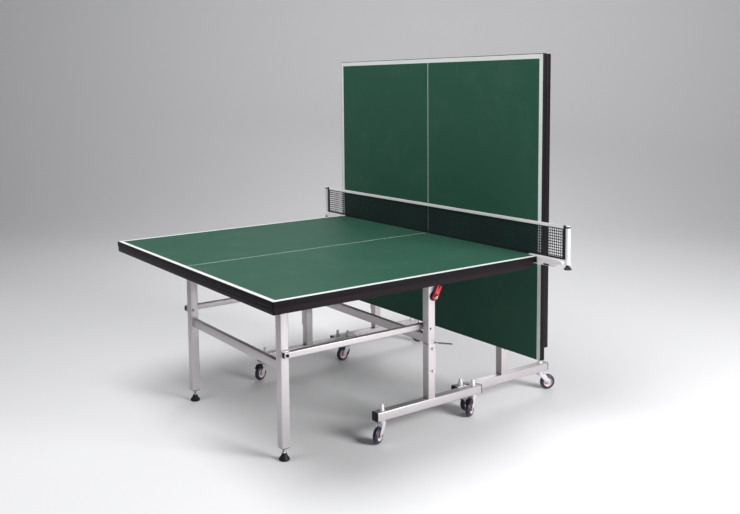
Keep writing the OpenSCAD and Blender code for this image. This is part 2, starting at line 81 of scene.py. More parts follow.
def build(name, shape, materials, sharp=35):
    """Makes the mesh object at the origin. Faces that meet at more than sharp degrees keep a sharp edge."""
    mesh = bpy.data.meshes.new(name)
    points = np.concatenate(shape.points).astype(np.float32)
    loops = np.concatenate([f.ravel() for f in shape.faces]).astype(np.int32)
    totals = np.concatenate([np.full(len(f), f.shape[1]) for f in shape.faces])
    mesh.vertices.add(len(points))
    mesh.vertices.foreach_set("co", points.ravel())
    mesh.loops.add(len(loops))
    mesh.loops.foreach_set("vertex_index", loops)
    mesh.polygons.add(len(totals))
    mesh.polygons.foreach_set("loop_start", (np.cumsum(totals) - totals).astype(np.int32))
    mesh.polygons.foreach_set("material_index", np.concatenate(shape.slots).astype(np.int32))
    mesh.uv_layers.new(name="flat").data.foreach_set(
        "uv", np.concatenate(shape.flat)[loops].astype(np.float32).ravel())
    mesh.update(calc_edges=True)
    bm = bmesh.new()
    bm.from_mesh(mesh)
    bmesh.ops.recalc_face_normals(bm, faces=bm.faces)
    bm.to_mesh(mesh)
    bm.free()
    mesh.polygons.foreach_set("use_smooth", np.ones(len(mesh.polygons), bool))
    mesh.set_sharp_from_angle(angle=math.radians(sharp))
    for m in materials:
        mesh.materials.append(m)
    obj = bpy.data.objects.new(name, mesh)
    bpy.context.scene.collection.objects.link(obj)
    return obj


def finish_piece(obj, body, slot, *nodes):
    """The piece rides on its body and stands for the CAD nodes, which it hides. The slot is not used."""
    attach(obj, body)
    if nodes:
        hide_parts(*nodes)


def node_group(name, inputs, outputs):
    """An empty shader node group with named sockets. Each input is (name, kind, default, low, high)."""
    g = bpy.data.node_groups.new(name, "ShaderNodeTree")
    for label, kind, default, *limits in inputs:
        socket = g.interface.new_socket(name=label, in_out="INPUT", socket_type="NodeSocket" + kind)
        if default is not None:
            socket.default_value = default
        if limits:
            socket.min_value, socket.max_value = limits
    for label, kind in outputs:
        g.interface.new_socket(name=label, in_out="OUTPUT", socket_type="NodeSocket" + kind)
    return g, g.nodes.new("NodeGroupInput").outputs, g.nodes.new("NodeGroupOutput").inputs


def put(tree, kind, links=(), **settings):
    """Adds a node, sets its properties and joins its inputs. links maps an input to a socket or a constant."""
    n = tree.nodes.new("ShaderNode" + kind)
    for key, value in settings.items():
        setattr(n, key, value)
    for key, value in dict(links).items():
        if isinstance(value, bpy.types.NodeSocket):
            tree.links.new(value, n.inputs[key])
        else:
            n.inputs[key].default_value = value
    return n


def maths(tree, operation, *values, clamp=False):
    """The output of one Math node."""
    return put(tree, "Math", enumerate(values), operation=operation, use_clamp=clamp).outputs[0]


def blend(tree, amount, first, second):
    """The first colour mixed towards the second by an amount. Each is a socket or a constant."""
    factor, colour_a, colour_b, result = 0, 6, 7, 2
    return put(tree, "Mix", {factor: amount, colour_a: first, colour_b: second}, data_type="RGBA").outputs[result]


# Fine unevenness of a painted, moulded or plated skin: a slow drift of shade, a fine grain that changes the
# roughness, and a slight waviness of the surface itself.
skin_group, skin_in, skin_out = node_group(
    "skin", [("Drift Scale", "Float", 6.0, 0.0, 200.0), ("Grain Scale", "Float", 400.0, 0.0, 4000.0),
             ("Shade Depth", "Float", 0.06, 0.0, 1.0), ("Roughness", "Float", 0.4, 0.0, 1.0),
             ("Roughness Spread", "Float", 0.1, 0.0, 1.0), ("Relief", "Float", 0.1, 0.0, 1.0)],
    [("Shade", "Float"), ("Roughness", "Float"), ("Normal", "Vector")])
where = put(skin_group, "TexCoord").outputs["Object"]
slow, fine = [put(skin_group, "TexNoise", {"Vector": where, "Scale": skin_in[scale], "Detail": detail}).outputs["Fac"]
              for scale, detail in (("Drift Scale", 4.0), ("Grain Scale", 3.0))]
shading = maths(skin_group, "MULTIPLY", maths(skin_group, "SUBTRACT", slow, 0.5), skin_in["Shade Depth"])
skin_group.links.new(maths(skin_group, "ADD", shading, 1.0), skin_out["Shade"])
unevenness = maths(skin_group, "MULTIPLY", maths(skin_group, "SUBTRACT", fine, 0.5), skin_in["Roughness Spread"])
skin_group.links.new(maths(skin_group, "ADD", skin_in["Roughness"], unevenness, clamp=True), skin_out["Roughness"])
bump = put(skin_group, "Bump", {"Height": fine, "Strength": skin_in["Relief"], "Distance": 0.0005})
skin_group.links.new(bump.outputs["Normal"], skin_out["Normal"])

# Marks of use: short scratches and rubbed patches, as a mask.
wear_group, wear_in, wear_out = node_group(
    "wear", [("Scale", "Float", 12.0, 0.0, 200.0), ("Amount", "Float", 0.3, 0.0, 1.0)], [("Mask", "Float")])
where = put(wear_group, "TexCoord").outputs["Object"]
rubbed = put(wear_group, "TexNoise", {"Vector": where, "Scale": wear_in["Scale"], "Detail": 6.0, "Roughness": 0.7})
drawn_out = put(wear_group, "Mapping", {"Vector": where, "Scale": (1.0, 14.0, 5.0), "Rotation": (0.3, 0.2, 0.9)})
scratched = put(wear_group, "TexNoise", {"Vector": drawn_out.outputs["Vector"], "Scale": 60.0, "Detail": 2.0})
scratches, patches = [
    put(wear_group, "MapRange", {"Value": noise.outputs["Fac"], "From Min": low, "From Max": high}).outputs["Result"]
    for noise, low, high in ((scratched, 0.66, 0.72), (rubbed, 0.5, 0.75))]
marks = maths(wear_group, "ADD", patches, scratches, clamp=True)
wear_group.links.new(maths(wear_group, "MULTIPLY", marks, wear_in["Amount"]), wear_out["Mask"])

# Knotted mesh from the flat coordinates of the cloth: threads every cell both ways, thicker at the knots.
mesh_group, mesh_in, mesh_out = node_group(
    "knotted_mesh", [("Flat", "Vector", None), ("Cell", "Float", 0.012, 0.001, 0.1),
                     ("Thread", "Float", 0.0012, 0.0001, 0.01)], [("Mask", "Float"), ("Height", "Float")])
cloth_xy = put(mesh_group, "SeparateXYZ", {0: mesh_in["Flat"]}).outputs
half_cell = maths(mesh_group, "MULTIPLY", mesh_in["Cell"], 0.5)
to_thread = [maths(mesh_group, "PINGPONG", cloth_xy[k], half_cell) for k in (0, 1)]
nearest = maths(mesh_group, "MINIMUM", *to_thread)
knot_size, thread_half = [maths(mesh_group, "MULTIPLY", mesh_in["Thread"], k) for k in (1.3, 0.5)]
knot = maths(mesh_group, "LESS_THAN", maths(mesh_group, "ADD", *to_thread), knot_size)
thread = maths(mesh_group, "LESS_THAN", nearest, thread_half)
mesh_group.links.new(maths(mesh_group, "MAXIMUM", thread, knot), mesh_out["Mask"])
mesh_group.links.new(maths(mesh_group, "SUBTRACT", mesh_in["Thread"], nearest), mesh_out["Height"])


def surface(name, colour, roughness=0.4, metallic=0.0, drift=6.0, grain=400.0, depth=0.06, spread=0.1, relief=0.1,
            wear=0.0, worn=(0.5, 0.5, 0.5), coat=0.0, sheen=0.0, specular=0.5):
    """A material with the shared skin on a Principled shader. Wear mixes in the worn colour. Returns the
    material, its tree, the Principled node and the colour's socket, for pieces that add to it."""
    m = bpy.data.materials.new(name)
    m.use_nodes = True
    tree = m.node_tree
    principled = tree.nodes["Principled BSDF"]
    skin = put(tree, "Group", node_tree=skin_group)
    for key, value in (("Drift Scale", drift), ("Grain Scale", grain), ("Shade Depth", depth),
                       ("Roughness", roughness), ("Roughness Spread", spread), ("Relief", relief)):
        skin.inputs[key].default_value = value
    shade = put(tree, "HueSaturation", {"Color": (*colour, 1.0), "Value": skin.outputs["Shade"]}).outputs["Color"]
    if wear:
        mark = put(tree, "Group", {"Amount": wear}, node_tree=wear_group)
        shade = blend(tree, mark.outputs["Mask"], shade, (*worn, 1.0))
    tree.links.new(shade, principled.inputs["Base Color"])
    tree.links.new(skin.outputs["Roughness"], principled.inputs["Roughness"])
    tree.links.new(skin.outputs["Normal"], principled.inputs["Normal"])
    principled.inputs["Metallic"].default_value = metallic
    principled.inputs["Coat Weight"].default_value = coat
    principled.inputs["Sheen Weight"].default_value = sheen
    principled.inputs["Specular IOR Level"].default_value = specular
    return m, tree, principled, shade

net_foot, net_high, net_long = 0.763, 0.1495, 1.81
post_x = 0.436
joints = {j["name"]: j for j in frame["joints"]}
net_x = joints["near_fold"]["pos_m"][0] + post_x
t, u = np.linspace(0, 1, 25)[:, None], np.linspace(0, 1, 241)[None, :]
# The cloth bows by a sum of two sines along its length that fades to nothing at the posts.
bow = (0.0012 * np.sin(u * 9.0 * math.pi) * np.sin(u * math.pi) * (1 - 0.6 * t)
       + 0.0008 * np.sin(u * 31.0) * np.sin(u * math.pi))
grid = np.stack([net_x + bow, -net_long / 2 + net_long * u + 0 * t, net_foot + net_high * t + 0 * u], -1)
net_material, tree, principled, shade = surface("net_cloth", (0.006, 0.009, 0.014), 0.8, grain=900.0)
flat = put(tree, "UVMap", uv_map="flat").outputs["UV"]
knots = put(tree, "Group", {"Flat": flat, "Thread": 0.0035}, node_tree=mesh_group)
along_net, up_net = put(tree, "SeparateXYZ", {0: flat}).outputs[:2]
strip_start, hem_middle, hem_start = 0.884, 0.0705, 0.062
strip = maths(tree, "GREATER_THAN", maths(tree, "ABSOLUTE", along_net), strip_start)
hem = maths(tree, "ABSOLUTE", maths(tree, "SUBTRACT", up_net, hem_middle))
solid = maths(tree, "MAXIMUM", strip, maths(tree, "GREATER_THAN", hem, hem_start))
tree.links.new(maths(tree, "MAXIMUM", solid, knots.outputs["Mask"]), principled.inputs["Alpha"])
on_cloth = np.stack([grid[..., 1], grid[..., 2] - net_foot], -1)
net = build("net_cloth", Shape().add(grid, wrap=(False, False), flat=on_cloth), [net_material])
finish_piece(net, "near_top", "net_mesh", "net")


# Tape: white woven band, folded over the top edge of the net and sewn along it, with a cord of 2 mm drawn
# through the net's lowest row of knots.


def rounded_rect(w, h, r, n=5):
    """Outline of a rectangle w by h about the origin with corner arcs of radius r, anticlockwise."""
    r = max(min(r, w / 2 - 1e-6, h / 2 - 1e-6), 1e-5)
    t = np.linspace(0, math.pi / 2, n + 1)
    quarter = np.stack([np.cos(t), np.sin(t)], 1) * r
    found = []
    for k, (sx, sy) in enumerate([(1, 1), (-1, 1), (-1, -1), (1, -1)]):
        c, s = round(math.cos(k * math.pi / 2)), round(math.sin(k * math.pi / 2))
        found.append(quarter @ np.array([[c, s], [-s, c]]) + [sx * (w / 2 - r), sy * (h / 2 - r)])
    return np.concatenate(found)


def wire(path, r, n):
    """A round wire along a path: each ring of n points stands square to the path, and is carried on from the one
    before without twist, by taking away the part that points along the path."""
    path = np.asarray(path, float)
    along_path = np.gradient(path, axis=0)
    along_path /= np.linalg.norm(along_path, axis=1)[:, None]
    up = np.array([0.0, 0.0, 1.0]) if abs(along_path[0, 2]) < 0.9 else np.array([1.0, 0.0, 0.0])
    t = np.linspace(0, 2 * math.pi, n, endpoint=False)[:, None]
    rings = []
    for p, d in zip(path, along_path):
        up = up - d * (up @ d)
        up /= np.linalg.norm(up)
        rings.append(p + r * (np.cos(t) * up + np.sin(t) * np.cross(d, up)))
    return dict(grid=np.stack(rings), caps=(0, -1))


tape_thick, tape_high, tape_z, tape_end = 0.0028, 0.0150, 0.905, 0.889
section = rounded_rect(tape_thick, tape_high, 0.0013, 4)
y = np.linspace(-tape_end, tape_end, 181)
# The band's height swells and shrinks by two sines along it, as sewn tape does.
wave = 0.0006 * np.sin(y * 47.0) + 0.0004 * np.sin(y * 113.0)
grid = np.stack([net_x + section[:, 0] + 0 * y[:, None], y[:, None] + 0 * section[:, 0],
                 tape_z + section[:, 1] * (1 + 8 * wave[:, None])], -1)
tape_material, tree, principled, shade = surface("net_tape", (0.86, 0.86, 0.85), 0.8, grain=1500.0, relief=0.4,
                                                 sheen=0.4)
where = put(tree, "TexCoord").outputs["Object"]
stitches = put(tree, "TexWave", {"Vector": where, "Scale": 160.0}, bands_direction="Y").outputs["Fac"]
tree.links.new(blend(tree, maths(tree, "MULTIPLY", stitches, 0.12), shade, (0.6, 0.6, 0.6, 1.0)),
               principled.inputs["Base Color"])
tape = build("net_tape", Shape().add(grid, caps=(0, -1)), [tape_material])
finish_piece(tape, "near_top", "net_tape", "net_tape")
cord_r, cord_z, cord_end = 0.001, 0.7645, 0.904
cord_path = [(net_x, a, cord_z + 0.0008 * math.sin(a * 20)) for a in np.linspace(-cord_end, cord_end, 91)]
cord = build("net_cord", Shape().add(**wire(cord_path, cord_r, 8)), [net_material])
finish_piece(cord, "near_top", "net_mesh")


# Net clamps: a painted casting that grips the side edge between two jaws, reaches out along the net line and
# carries the post, a white tube with a domed end. A rubber pad under the board takes the lower jaw's grip.
sides = (("right", -1), ("left", 1))


def along(outline, height, axis):
    """Stands a flat outline up at a height along one axis; the outline's two directions take the other axes."""
    order = {"x": (2, 0, 1), "y": (1, 2, 0), "z": (0, 1, 2)}[axis]
    points = np.column_stack([outline, np.full(len(outline), height)])
    return points[:, order]


def eased(low, high, edge):
    """Heights and insets of rows from low to high whose two ends follow a quarter circle: at angle a the inset
    is edge (1 - sin a) and the height edge (1 - cos a) from the end."""
    t = np.linspace(0, math.pi / 2, 4)
    rows = np.stack([edge * (1 - np.cos(t)), edge * (1 - np.sin(t))], 1)
    return [(low + z, i) for z, i in rows] + [(high - z, i) for z, i in rows[::-1]]


def bar(w, h, length, r, edge=0.0006, axis="z", wall=None):
    """A bar or tube of rectangular section from 0 to length along an axis. Its long edges have radius r and its
    ends are eased by edge. With a wall it is a tube open at both ends."""
    rows = eased(0, length, edge)
    if wall:
        rows += [(length - edge, wall), (edge, wall)]
    grid = np.stack([along(rounded_rect(w - 2 * i, h - 2 * i, r - i), z, axis) for z, i in rows])
    return dict(grid=grid, caps=() if wall else (0, -1), wrap=(True, bool(wall)))


def block(low, high, r, edge=0.0006, axis="z"):
    """A rectangular block between two corners, with its edges along the axis rounded by r."""
    low, high = np.array(low, float), np.array(high, float)
    lengthwise = "xyz".index(axis)
    w, h, length = (high - low)[[(lengthwise + 1) % 3, (lengthwise + 2) % 3, lengthwise]]
    found = bar(w, h, length, r, edge, axis)
    foot = (low + high) / 2
    foot[lengthwise] = low[lengthwise]
    found["grid"] = found["grid"] + foot
    return found


def turned(profile, n=48, axis="z", capped=True):
    """A turned piece: each profile point gives a radius and a height, and is turned once about the axis."""
    t = np.linspace(0, 2 * math.pi, n, endpoint=False)
    ring = np.stack([np.cos(t), np.sin(t)], 1)
    grid = np.stack([along(ring * max(r, 1e-5), z, axis) for r, z in profile])
    return dict(grid=grid, caps=(0, -1) if capped else ())


def arc(cx, cz, r, start, end, n=8):
    """Profile points on an arc, from one angle to another in degrees."""
    t = np.radians(np.linspace(start, end, n))
    return list(zip(cx + r * np.cos(t), cz + r * np.sin(t)))


hinge_z, link_span = 0.710, 0.710
strut_pin_x, strut_pin_z = -0.008, 0.453


def half_place(half, group):
    """Carries points from a half's own frame, with x towards the net from the table hinge, to the table's frame.
    The near top lies flat and the far top stands upright, and its legs and struts have moved with it."""
    fold = math.radians(0 if half == "near" else 90)
    hinge_x = joints[half + "_fold"]["pos_m"][0]
    turn = np.array(Matrix.Rotation(fold, 3, "Y"))
    hinge, strut_pin = np.array([0, 0, hinge_z]), np.array([strut_pin_x, 0, strut_pin_z])

    def place(points):
        p = points.copy()
        if group == "top":
            p = (p - hinge) @ turn.T + hinge
        elif group == "legs":
            p = p + [-link_span * math.cos(fold), 0, link_span * math.sin(fold)]
        elif group == "struts":
            p = (p - strut_pin) @ turn.T + strut_pin
        return (p if half == "near" else p * [-1, -1, 1]) + [hinge_x, 0, 0]

    return place


clamp_material = surface("white_paint", (0.80, 0.76, 0.79), 0.38, grain=300.0, depth=0.04, coat=0.2, wear=0.1,
                         worn=(0.55, 0.53, 0.56))[0]
slot_material = surface("clamp_black", (0.015, 0.014, 0.018), 0.45)[0]
pad_material = surface("pad_rubber", (0.02, 0.02, 0.022), 0.85, grain=900.0)[0]
near_top = half_place("near", "top")
post_y = 0.915
jaw_start, jaw_end = 0.412, 0.430
upper_tip, upper_foot, lower_tip, lower_head = 0.7125, 0.7602, 0.7245, 0.733
side_y, lip_y, arm_foot, arm_top = 0.7625, 0.7675, 0.727, 0.765
slot_low, slot_high = (0.4116, 0.800, 0.7290), (0.4126, 0.832, 0.7370)
arm_x, arm_wide = 0.423, 0.022
# The arm tapers towards the post: y, underside and top of its stations.
stations = np.array([
    [side_y, arm_foot, arm_top], [0.800, 0.7270, 0.7648], [0.857, 0.7272, 0.7643], [0.862, 0.7290, 0.7642],
    [0.888, 0.7448, 0.7625], [0.894, 0.7450, 0.7605], [0.907, 0.7450, 0.7563]])
post = [(0.0099, 0.7440), (0.010, 0.7450), (0.010, 0.9050)] + arc(0.004, 0.9065, 0.006, 0, 90)
collar = [(0.0120, 0.7442), (0.0128, 0.7452), (0.0128, 0.7560), (0.0118, 0.7596), (0.0100, 0.7604)]
knob_stud = [(0.003, 0.732), (0.003, 0.745)]
post_band = [(0.0101, 0.9030), (0.0110, 0.9036), (0.0110, 0.9090), (0.0101, 0.9096)]
grip_pad, pad_at = [(0.0074, 0.7330), (0.0080, 0.7340), (0.0080, 0.7402), (0.0076, 0.7409)], (0.421, 0.7425, 0)
for side, s in sides:
    mirrored = (lambda p, s=s: near_top(p * [1, s, 1]))
    shape = Shape(mirrored)
    shape.add(**block((jaw_start, upper_tip, upper_foot), (jaw_end, lip_y, arm_top), 0.005, 0.0012))
    shape.add(**block((jaw_start, side_y, arm_foot), (jaw_end, lip_y, arm_top), 0.0015, 0.001, "x"))
    shape.add(**block((jaw_start, lower_tip, arm_foot), (jaw_end, lip_y, lower_head), 0.004, 0.0012))
    # Each row of the arm is a rounded section whose height is read between the stations.
    a = np.linspace(side_y, stations[-1, 0], 41)
    low, high = [np.interp(a, stations[:, 0], stations[:, k]) for k in (1, 2)]
    ease = np.clip(np.minimum(a - a[0] + 0.001, a[-1] - a + 0.001) / 0.004, 0.7, 1)
    arm = [np.column_stack([arm_x + r[:, 0], np.full(len(r), out), (l + h) / 2 + r[:, 1]])
           for out, l, h, e in zip(a, low, high, ease) for r in [rounded_rect(arm_wide * e, (h - l) * e, 0.004)]]
    shape.add(np.stack(arm), caps=(0, -1))
    for profile, n in ((post, 48), (collar, 48), (knob_stud, 24)):
        shape.add(**turned(profile, n), at=(post_x, post_y, 0))
    casting = build("net_clamp_casting_" + side, shape, [clamp_material])
    finish_piece(casting, "near_top", "white_paint", "net_clamp_" + side)
    dark = Shape(mirrored)
    dark.add(**block(slot_low, slot_high, 0.003, 0.0004, "x"))
    dark.add(**turned(post_band), at=(post_x, post_y, 0))
    finish_piece(build("net_clamp_slot_" + side, dark, [slot_material]), "near_top", "black_plastic")
    pad = Shape(mirrored).add(**turned(grip_pad), at=pad_at)
    finish_piece(build("net_clamp_pad_" + side, pad, [pad_material]), "near_top", "black_plastic")


# Net knobs: black bell-shaped plastic knobs under the posts, with shallow flutes for the fingers. Each turns on
# the stud below its post and pulls the net tight.
knob_material = surface("knob_plastic", (0.010, 0.009, 0.011), 0.42, grain=500.0, specular=0.35)[0]
bell = np.array([
    (0.0031, 0.743), (0.0068, 0.743), (0.0078, 0.7405), (0.0092, 0.7368), (0.0110, 0.7330), (0.0138, 0.7302),
    (0.0160, 0.7280), (0.0170, 0.7256), (0.0166, 0.7238), (0.0150, 0.7230), (0.004, 0.7230)])
r, z = bell[:, :1], bell[:, 1:]
a = np.linspace(0, 2 * math.pi, 96, endpoint=False)
flute_count, flute_depth, flute_start = 9, 0.05, 0.012
# The flutes are a cosine round the bell, which comes in over 6 mm of radius from flute_start.
flutes = 1 - flute_depth * np.clip((r - flute_start) / 0.006, 0, 1) * (0.5 + 0.5 * np.cos(flute_count * a))[None, :]
grid = np.stack([r * flutes * np.cos(a), r * flutes * np.sin(a), z + 0 * a], -1)
for side, s in sides:
    knob = Shape(near_top).add(grid, caps=(-1,), at=(post_x, post_y * s, 0))
    finish_piece(build("net_knob_bell_" + side, knob, [knob_material]),
                 "net_knob_" + side, "black_plastic", "net_knob_" + side)


# Boards: 19 mm wood-based panels. The playing face is sprayed matt green, with 20 mm white lines along both
# sides and the end line and a 3 mm line down the middle. The underside is sealed dark.
halves = ("near", "far")


def inset(outline, d):
    """Moves each point of an outline inwards by d along the bisector of its two edges."""
    forward = np.roll(outline, -1, 0) - outline
    forward /= np.linalg.norm(forward, axis=1)[:, None]
    back = np.roll(forward, 1, 0)
    normal = np.stack([-(forward + back)[:, 1], (forward + back)[:, 0]], 1)
    normal /= np.linalg.norm(normal, axis=1)[:, None]
    turn = np.clip((normal * np.stack([-forward[:, 1], forward[:, 0]], 1)).sum(1), 0.5, 1)
    area = (outline[:, 0] * np.roll(outline[:, 1], -1) - outline[:, 1] * np.roll(outline[:, 0], -1)).sum()
    return outline + np.sign(area) * d * normal / turn[:, None]


def plate(outline, low, high, edge=0.0005, axis="z"):
    """A plate cut to an outline, from low to high along an axis, with its edges eased."""
    grid = np.stack([along(inset(outline, i), z, axis) for z, i in eased(low, high, edge)])
    return dict(grid=grid, caps=(0, -1))


# Painted court lines from the flat coordinates of the top: x from the end line, y from the middle.
line_group, line_in, line_out = node_group(
    "court_lines", [("Flat", "Vector", None), ("Border", "Float", 0.02, 0.0, 0.1),
                    ("Centre", "Float", 0.003, 0.0, 0.1), ("Half Width", "Float", 0.76, 0.1, 2.0)],
    [("Mask", "Float")])
from_end, across_top = put(line_group, "SeparateXYZ", {0: line_in["Flat"]}).outputs[:2]
off_middle = maths(line_group, "ABSOLUTE", across_top)
end_line = maths(line_group, "LESS_THAN", from_end, line_in["Border"])
inner_edge = maths(line_group, "SUBTRACT", line_in["Half Width"], line_in["Border"])
side_line = maths(line_group, "GREATER_THAN", off_middle, inner_edge)
middle_line = maths(line_group, "LESS_THAN", off_middle, maths(line_group, "MULTIPLY", line_in["Centre"], 0.5))
outer_lines = maths(line_group, "MAXIMUM", end_line, side_line)
line_group.links.new(maths(line_group, "MAXIMUM", outer_lines, middle_line), line_out["Mask"])

end_x, net_edge, corner_r, band_wall = -0.940, 0.430, 0.006, 0.0025


def u_path(inward, net_end):
    """Path round the top from the net edge, along one side, round the end line and back, moved inwards by
    inward. Its two corners keep their centres until the move is larger than their radius."""
    r, end, side = max(corner_r - inward, 1e-5), end_x + inward, side_y - inward
    t = np.radians(np.linspace(270, 180, 7))
    corner = np.stack([end + r + r * np.cos(t), -side + r + r * np.sin(t)], 1)
    straight = np.linspace(net_end, end + r, 9)[:-1]
    one_side = np.concatenate([np.stack([straight, np.full(8, -side)], 1), corner])
    return np.concatenate([one_side, one_side[::-1] * [1, -1]])


green, tree, principled, shade = surface("playing_face", (0.029, 0.098, 0.066), 0.62, drift=2.5, grain=1800.0,
                                         depth=0.10, spread=0.14, relief=0.18, specular=0.12)
flat = put(tree, "UVMap", uv_map="flat").outputs["UV"]
line_width, line_white, rubbed_green = 0.0205, (0.78, 0.80, 0.78, 1.0), (0.22, 0.26, 0.24, 1.0)
lines = put(tree, "Group", {"Flat": flat, "Border": line_width, "Half Width": side_y - band_wall},
            node_tree=line_group)
painted = blend(tree, lines.outputs["Mask"], shade, line_white)
mark = put(tree, "Group", {"Scale": 5.0, "Amount": 0.07}, node_tree=wear_group).outputs["Mask"]
tree.links.new(blend(tree, mark, painted, rubbed_green), principled.inputs["Base Color"])
under = surface("board_underside", (0.030, 0.034, 0.032), 0.62, drift=9.0, grain=900.0, depth=0.25)[0]
board_foot, face_z = 0.741, 0.760
for half in halves:
    body = plate(u_path(band_wall, net_edge), board_foot, face_z, 0.0004)["grid"]
    shape = Shape(half_place(half, "top")).add(body, caps=(0,), slot=1)
    face = body[-1:]
    shape.add(face, caps=(0,), flat=face[..., :2] - [end_x + band_wall, 0])
    finish_piece(build(half + "_top_panel", shape, [green, under]), half + "_top", "green_board", half + "_board")


# Edge bands: black plastic moulding with a rounded face, 26 mm high, pressed on round three sides of each top
# and left off at the net.


def round_top(section, net_end):
    """A strip whose section, a list of insets and heights, is carried along the path round the top."""
    rows = [(u_path(i, net_end), z) for i, z in section]
    return dict(grid=np.stack([np.column_stack([p, np.full(len(p), z)]) for p, z in rows], 1), caps=(0, -1))


moulding = surface("edge_moulding", (0.006, 0.0045, 0.0065), 0.40, grain=600.0, relief=0.15, specular=0.09)[0]
section = [(0.0025, 0.7600), (0.0012, 0.7600), (0.0004, 0.7594), (0.0001, 0.7575), (0.0, 0.7500), (0.0, 0.7440),
           (0.0003, 0.7372), (0.0009, 0.7346), (0.0016, 0.7340), (0.0025, 0.7340)]
for half in halves:
    shape = Shape(half_place(half, "top")).add(**round_top(section, net_edge))
    finish_piece(build(half + "_edge_moulding", shape, [moulding]),
                 half + "_top", "black_moulding", half + "_edge_band")


# Aprons: sheet steel folded to a channel, 31 mm deep with 24 mm flanges, painted black and screwed to the
# underside. They stiffen the top on three sides and stop 55 mm short of the net.
apron_paint = surface("apron_paint", (0.010, 0.0055, 0.0085), 0.36, grain=260.0, relief=0.12, wear=0.08,
                      worn=(0.03, 0.025, 0.03), specular=0.11)[0]
apron_end = 0.375
section = [(0.0265, 0.7410), (0.0045, 0.7410), (0.0031, 0.7404), (0.0025, 0.7390), (0.0025, 0.7120),
           (0.0031, 0.7106), (0.0045, 0.7100), (0.0265, 0.7100), (0.0265, 0.7115), (0.0052, 0.7115),
           (0.0041, 0.7124), (0.0040, 0.7384), (0.0052, 0.7395), (0.0265, 0.7395)]
for half in halves:
    shape = Shape(half_place(half, "top")).add(**round_top(section, apron_end))
    finish_piece(build(half + "_apron_channel", shape, [apron_paint]),
                 half + "_top", "black_apron", half + "_apron")


# Hinge brackets: steel base plates with two ears each, screwed under the top. One pair holds the uprights'
# hinge pins and the other pair the legs'.


def hull(circles, n=28):
    """Outline of a plate that a band drawn round these circles would give; each is x, y and radius."""
    t = np.linspace(0, 2 * math.pi, n, endpoint=False)
    points = np.concatenate([[x, y] + r * np.stack([np.cos(t), np.sin(t)], 1) for x, y, r in circles])
    return points[convex_hull_2d([tuple(p) for p in points])]


frame_paint = surface("frame_paint", (0.56, 0.525, 0.54), 0.34, metallic=0.55, grain=320.0, depth=0.06,
                      relief=0.12, wear=0.12, worn=(0.36, 0.33, 0.34))[0]
zinc = surface("zinc_plate", (0.62, 0.62, 0.63), 0.30, metallic=1.0, grain=700.0, depth=0.12, spread=0.22)[0]
# Uprights and legs stand this far from the frame's middle, and the frame is shifted off the top's middle.
upright_y, leg_y, frame_shift = 0.496, 0.417, 0.021
base_x, base_y, base_foot, base_head = 0.035, 0.024, 0.738, 0.7409
ear_r, ear_half, ear_inner, ear_head = 0.016, 0.019, 0.021, 0.736
screw = [(0.0038, 0.7382), (0.0038, 0.7374), (0.0030, 0.7362), (0.0012, 0.7358)]
screw_spots = [(dx, dy, 0) for dx in (-0.028, 0.028) for dy in (-0.011, 0.011)]
for half in halves:
    shape = Shape(half_place(half, "top"))
    for x, y in [(x, s * off - frame_shift) for side, s in sides for x, off in ((0.0, upright_y), (-link_span, leg_y))]:
        shape.add(**block((x - base_x, y - base_y, base_foot), (x + base_x, y + base_y, base_head), 0.004))
        ear = hull([(hinge_z, x, ear_r), (ear_head, x - ear_half, 0.002), (ear_head, x + ear_half, 0.002)])
        for a, b in ((-base_y, -ear_inner), (ear_inner, base_y)):
            shape.add(**plate(ear, y + a, y + b, axis="y"))
        for spot in screw_spots:
            shape.add(**turned(screw, 20), at=np.add(spot, (x, y, 0)), slot=1)
    finish_piece(build(half + "_hinge_brackets", shape, [frame_paint, zinc]),
                 half + "_top", "frame_paint", half + "_table_brackets")


# Legs: two 40 mm square tubes per half, hung from the top on hinge pins. A pin with a spacer below carries the
# strut, and a plastic plug in the lower end takes the foot's stem.
tube, tube_round = 0.040, 0.0042


def rod(r, start, end, n=24):
    """A plain round pin, washer or disc of radius r along Y."""
    return turned([(r, start), (r, end)], n, "y")


def add_nut(shape, r, h, way, at, slot=0):
    """Adds a cap nut or a bolt head that faces way along Y from its seat: a hexagon r across corners under a
    dome, h high together."""
    hexagon = [(r * 0.96, 0.0), (r, 0.0006), (r, h * 0.4), (r * 0.93, h * 0.46)]
    dome = [(r * 0.80, h * 0.46), (r * 0.80, h - r * 0.62)] + arc(0, h - r * 0.8, r * 0.8, 15, 84, 7)
    for profile, n in ((hexagon, 6), (dome, 32)):
        shape.add(**turned([(a, b * way) for a, b in profile], n, "y"), at=at, slot=slot)


